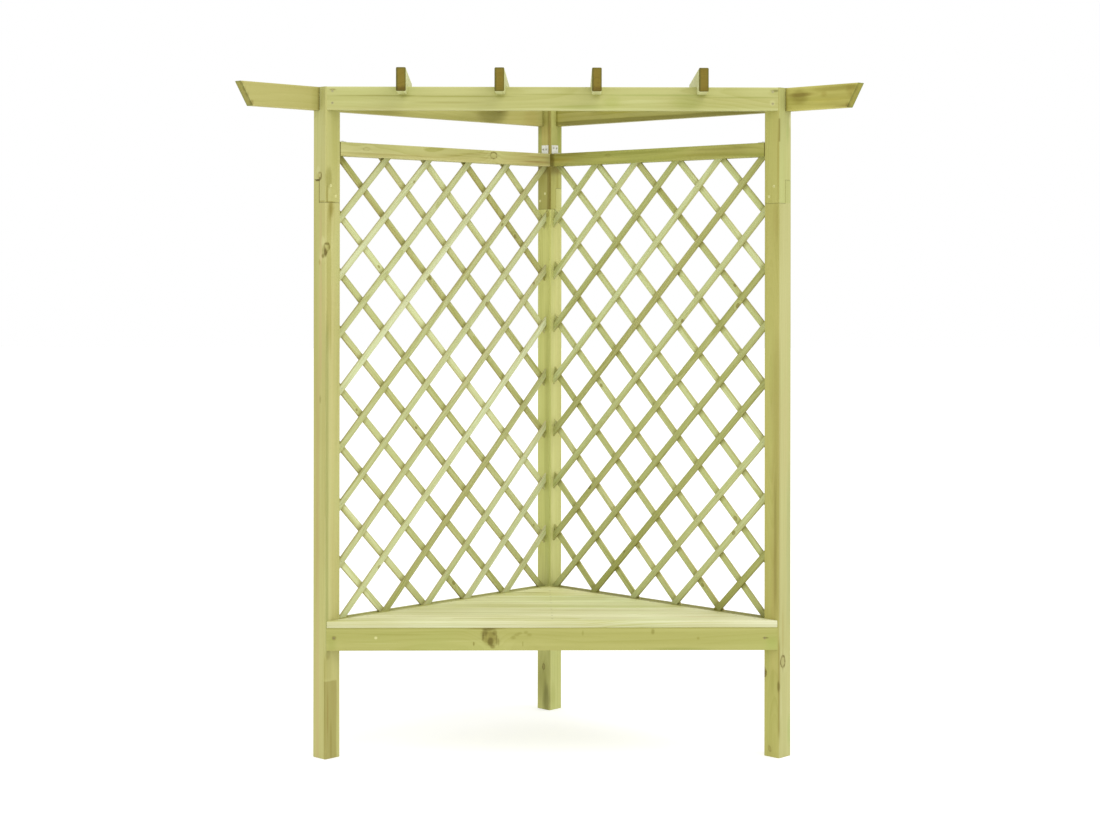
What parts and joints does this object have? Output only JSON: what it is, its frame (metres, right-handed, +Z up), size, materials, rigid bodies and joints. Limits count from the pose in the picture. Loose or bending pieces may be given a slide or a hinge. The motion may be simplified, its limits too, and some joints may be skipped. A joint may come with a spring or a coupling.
{
  "type": "arbour seat",
  "caption": "Corner garden arbour: triangular slatted bench between posts, diamond trellis on the rear sides, open rafters above.",
  "frame": {"origin": "on the ground and on the mirror plane of the posts; the middle of the overall bounding box in plan to within 9 mm, because the side beams overhang unequally", "axes": "+Z up; -Y towards the open front, so a sitter faces -Y; +X to the right seen from the front; the mirror plane is X = 0"},
  "size_m": [1.7549, 0.9055, 1.97],
  "materials": {
    "post_timber": "planed pressure-treated softwood, pale yellow-green, dull",
    "beam_timber": "planed pressure-treated softwood, pale yellow-green, dull",
    "rafter_timber": "planed pressure-treated softwood, brown end grain",
    "trellis_rail_timber": "planed pressure-treated softwood, greener",
    "trellis_slat_timber": "thin planed slats of treated softwood, tone differs from slat to slat",
    "seat_frame_timber": "planed pressure-treated softwood",
    "seat_board_timber": "planed pressure-treated softwood, cream-yellow",
    "trellis_pins": "bright wire pins",
    "galvanised_brackets": "zinc-plated pressed steel, dull",
    "zinc_screws": "zinc-plated"
  },
  "bodies": {
    "root": {"bearer_brackets": "galvanised_brackets", "bottom_rail_brackets": "galvanised_brackets", "bracket_screws": "zinc_screws", "front_beam": "beam_timber", "front_beam_screws": "zinc_screws", "left_post_lower": "post_timber", "left_post_upper": "post_timber", "left_side_beam": "beam_timber", "left_trellis_back_slats": "trellis_slat_timber", "left_trellis_bottom_rail": "trellis_rail_timber", "left_trellis_front_slats": "trellis_slat_timber", "left_trellis_pins": "trellis_pins", "left_trellis_top_rail": "trellis_rail_timber", "post_lap_screws": "zinc_screws", "rafter_inner_left": "rafter_timber", "rafter_inner_right": "rafter_timber", "rafter_outer_left": "rafter_timber", "rafter_outer_right": "rafter_timber", "rafter_screws": "zinc_screws", "rear_post_lower": "post_timber", "rear_post_upper": "post_timber", "right_post_lower": "post_timber", "right_post_upper": "post_timber", "right_side_beam": "beam_timber", "right_trellis_back_slats": "trellis_slat_timber", "right_trellis_bottom_rail": "trellis_rail_timber", "right_trellis_front_slats": "trellis_slat_timber", "right_trellis_pins": "trellis_pins", "right_trellis_top_rail": "trellis_rail_timber", "seat_board_1": "seat_board_timber", "seat_board_2": "seat_board_timber", "seat_board_3": "seat_board_timber", "seat_board_4": "seat_board_timber", "seat_board_5": "seat_board_timber", "seat_board_6": "seat_board_timber", "seat_board_screws": "zinc_screws", "seat_centre_bearer": "seat_frame_timber", "seat_corner_plate": "galvanised_brackets", "seat_frame_screws": "zinc_screws", "seat_front_rail": "seat_frame_timber", "seat_left_rail": "seat_frame_timber", "seat_right_rail": "seat_frame_timber", "side_beam_screws": "zinc_screws", "top_rail_brackets": "galvanised_brackets"}
  },
  "joints": []
}
